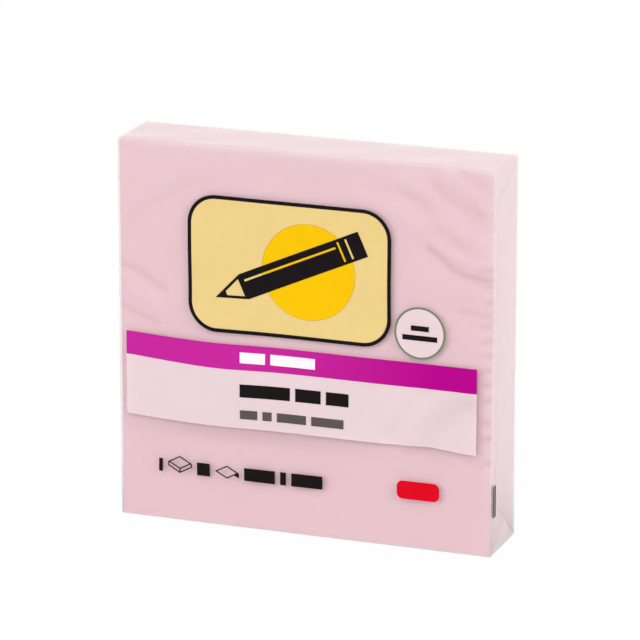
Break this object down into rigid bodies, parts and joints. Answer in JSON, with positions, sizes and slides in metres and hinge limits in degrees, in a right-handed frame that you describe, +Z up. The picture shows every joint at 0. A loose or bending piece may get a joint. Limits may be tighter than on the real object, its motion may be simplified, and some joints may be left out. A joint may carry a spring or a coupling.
{
  "type": "sticky note pad in clear film",
  "caption": "Square pad of pink sticky notes, standing upright in its clear printed film with envelope-folded ends and a lap seam on the back.",
  "frame": {"origin": "middle of the foot that the pad stands on", "axes": "+Z up, the printed front of the film faces -Y, +X to the right seen from the front"},
  "size_m": [0.0772, 0.0158, 0.0768],
  "materials": {
    "pink_paper": "uncoated, matt",
    "liner_paper": "silicone coated, smooth",
    "clear_film": "clear, glossy film",
    "white_ink": "thin white ink under a gloss film",
    "solid_white_ink": "white ink under a gloss film",
    "magenta_ink": "ink under a gloss film",
    "pale_yellow_ink": "ink under a gloss film",
    "deep_yellow_ink": "ink under a gloss film",
    "black_ink": "ink under a gloss film",
    "grey_ink": "ink under a gloss film",
    "green_ink": "ink under a gloss film",
    "red_ink": "ink under a gloss film"
  },
  "bodies": {
    "root": {"note_block": "pink_paper", "backing_sheet": "liner_paper", "film_wrap": "clear_film", "band_white": "white_ink", "band_magenta": "magenta_ink", "label_plate": "pale_yellow_ink", "label_outline": "black_ink", "label_disc": "deep_yellow_ink", "label_pencil": "black_ink", "ring_line": "green_ink", "ring_ground": "white_ink", "ring_bars": "black_ink", "red_mark": "red_ink", "bars_white": "solid_white_ink", "bars_dark": "black_ink", "bars_grey": "grey_ink", "sign_stack": "black_ink", "sign_sheet": "black_ink", "foot_bars": "black_ink", "end_bars": "black_ink"}
  },
  "joints": []
}
